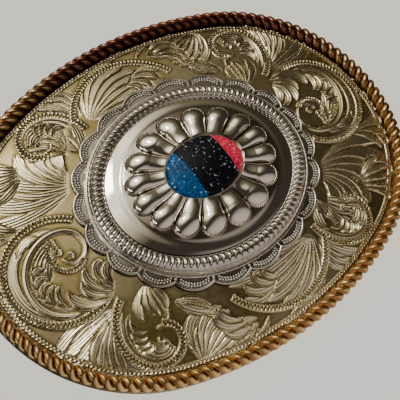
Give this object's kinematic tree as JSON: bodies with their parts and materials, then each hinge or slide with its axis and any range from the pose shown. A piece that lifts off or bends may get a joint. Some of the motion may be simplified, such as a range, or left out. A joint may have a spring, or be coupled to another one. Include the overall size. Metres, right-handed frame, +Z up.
{
  "type": "belt buckle",
  "caption": "Oval western dress buckle with a rope edge, an engraved domed plate, a petalled concho with a stone, and a hinged belt bail and a hook behind.",
  "frame": {"origin": "middle of the flat back of the back plate, where the belt lies", "axes": "+X along the long axis towards the bail, +Y out of the back towards the wearer, +Z up as worn; the engraved front faces -Y"},
  "size_m": [0.102, 0.0183, 0.0762],
  "materials": {
    "nickel_silver": "bright-cut engraved nickel silver, warm tarnish in the cuts",
    "concho_silver": "polished stamped silver",
    "rope_bronze": "aged jeweller's bronze",
    "back_brass": "brushed and worn",
    "hardware_nickel": "satin",
    "bail_wire": "bright drawn wire",
    "stone_blue": "crushed stone set in resin",
    "stone_black": "crushed stone set in resin",
    "stone_red": "crushed stone set in resin"
  },
  "bodies": {
    "buckle": {"back_plate": "back_brass", "face_plate": "nickel_silver", "rope_edge": "rope_bronze", "concho_border": "concho_silver", "concho_ring": "concho_silver", "concho_rosette": "concho_silver", "stone_cup": "concho_silver", "inlay_blue": "stone_blue", "inlay_black": "stone_black", "inlay_red": "stone_red", "concho_post": "hardware_nickel", "concho_screw": "hardware_nickel", "hinge_saddle": "hardware_nickel", "hinge_tube": "hardware_nickel", "hook_pad": "hardware_nickel", "hook_post": "hardware_nickel"},
    "swing_bail": {"bail": "bail_wire"}
  },
  "joints": [
    {"name": "bail_hinge", "type": "hinge", "parent": "buckle", "child": "swing_bail", "pos_m": [0.026, 0.0032, 0], "axis": [0, 0, 1], "range_deg": [-3, 183]}
  ]
}
